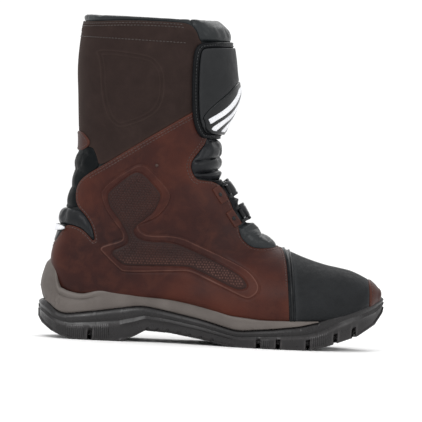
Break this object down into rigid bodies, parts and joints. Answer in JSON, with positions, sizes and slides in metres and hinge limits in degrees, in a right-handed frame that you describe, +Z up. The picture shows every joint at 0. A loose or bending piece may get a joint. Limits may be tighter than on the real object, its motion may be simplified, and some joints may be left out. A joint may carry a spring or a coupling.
{
  "type": "riding boot",
  "caption": "Left-foot touring riding boot: leather upper with ankle flex line, buckled instep straps, hinged shin flap and a lugged rubber sole.",
  "frame": {"origin": "middle of the heel tread, on the ground", "axes": "+X towards the toe, +Y towards the outer (lateral) side of this left boot, +Z up"},
  "size_m": [0.3156, 0.1253, 0.2965],
  "materials": {
    "oiled_leather": "oiled, pull-up grain",
    "suede": "matt suede nap",
    "black_fabric": "matt microfibre",
    "black_grip": "fine-grained grip microfibre",
    "black_plastic": "moulded, semi-gloss",
    "inner_plastic": "moulded stiffener",
    "white_tab": "reflective tape",
    "lining_mesh": "spacer mesh",
    "board": "fibre board",
    "grey_foam": "moulded foam",
    "tread_rubber": "moulded rubber",
    "steel": "brushed"
  },
  "bodies": {
    "foot": {"outsole": "tread_rubber", "midsole": "grey_foam", "steel_shank": "steel", "lasting_board": "board", "footbed": "lining_mesh", "heel_counter": "inner_plastic", "toe_puff": "inner_plastic", "medial_ankle_cup": "inner_plastic", "lateral_ankle_cup": "inner_plastic", "medial_quarter": "oiled_leather", "lateral_quarter": "oiled_leather", "toe_guard": "black_grip", "toe_tip": "oiled_leather", "toe_piping": "black_plastic", "tongue": "black_fabric", "tongue_pad": "black_fabric", "heel_pad": "black_plastic", "heel_band": "black_fabric", "heel_tab": "white_tab", "front_bellows": "black_fabric", "achilles_bellows": "black_fabric", "foot_lining": "lining_mesh", "upper_strap_pin": "steel", "upper_strap_anchor": "black_plastic", "upper_catch": "black_plastic", "lower_strap_pin": "steel", "lower_strap_anchor": "black_plastic", "lower_catch": "black_plastic"},
    "shaft": {"medial_ankle_panel": "oiled_leather", "lateral_ankle_panel": "oiled_leather", "medial_calf_panel": "suede", "lateral_calf_panel": "suede", "back_stay": "oiled_leather", "collar": "black_fabric", "shin_gusset": "black_fabric", "shaft_lining": "lining_mesh", "loop_tape": "black_fabric"},
    "shin_flap": {"flap": "black_fabric", "flap_piping": "black_plastic", "shin_plate": "black_grip", "shin_badge": "black_plastic", "hook_tape": "black_fabric"},
    "upper_strap": {"upper_strap": "black_plastic", "upper_buckle_frame": "black_plastic", "upper_lever_pin": "steel"},
    "upper_lever": {"upper_lever": "black_plastic"},
    "lower_strap": {"lower_strap": "black_plastic", "lower_buckle_frame": "black_plastic", "lower_lever_pin": "steel"},
    "lower_lever": {"lower_lever": "black_plastic"}
  },
  "joints": [
    {"name": "ankle_flex", "type": "hinge", "parent": "foot", "child": "shaft", "pos_m": [0.015, 0, 0.125], "axis": [0, 1, 0], "range_deg": [-6, 12], "stiffness_Nm_per_rad": 10, "deforming": ["front_bellows", "achilles_bellows"]},
    {"name": "shin_flap_swing", "type": "hinge", "parent": "shaft", "child": "shin_flap", "pos_m": [0.06342, -0.05201, 0.23632], "axis": [0.0337, 0.1424, -0.9892], "range_deg": [0, 70]},
    {"name": "upper_strap_swing", "type": "hinge", "parent": "foot", "child": "upper_strap", "pos_m": [0.09914, -0.00667, 0.14156], "axis": [0.4859, 0.044, -0.8729], "range_deg": [0, 60]},
    {"name": "upper_lever_lift", "type": "hinge", "parent": "upper_strap", "child": "upper_lever", "pos_m": [0.06159, 0.04433, 0.11311], "axis": [0.5277, -0.2426, -0.814], "range_deg": [0, 105]},
    {"name": "lower_strap_swing", "type": "hinge", "parent": "foot", "child": "lower_strap", "pos_m": [0.11226, -0.00647, 0.1206], "axis": [0.5436, 0.0228, -0.839], "range_deg": [0, 60]},
    {"name": "lower_lever_lift", "type": "hinge", "parent": "lower_strap", "child": "lower_lever", "pos_m": [0.07861, 0.03736, 0.09623], "axis": [0.5484, -0.0925, -0.8311], "range_deg": [0, 105]}
  ]
}
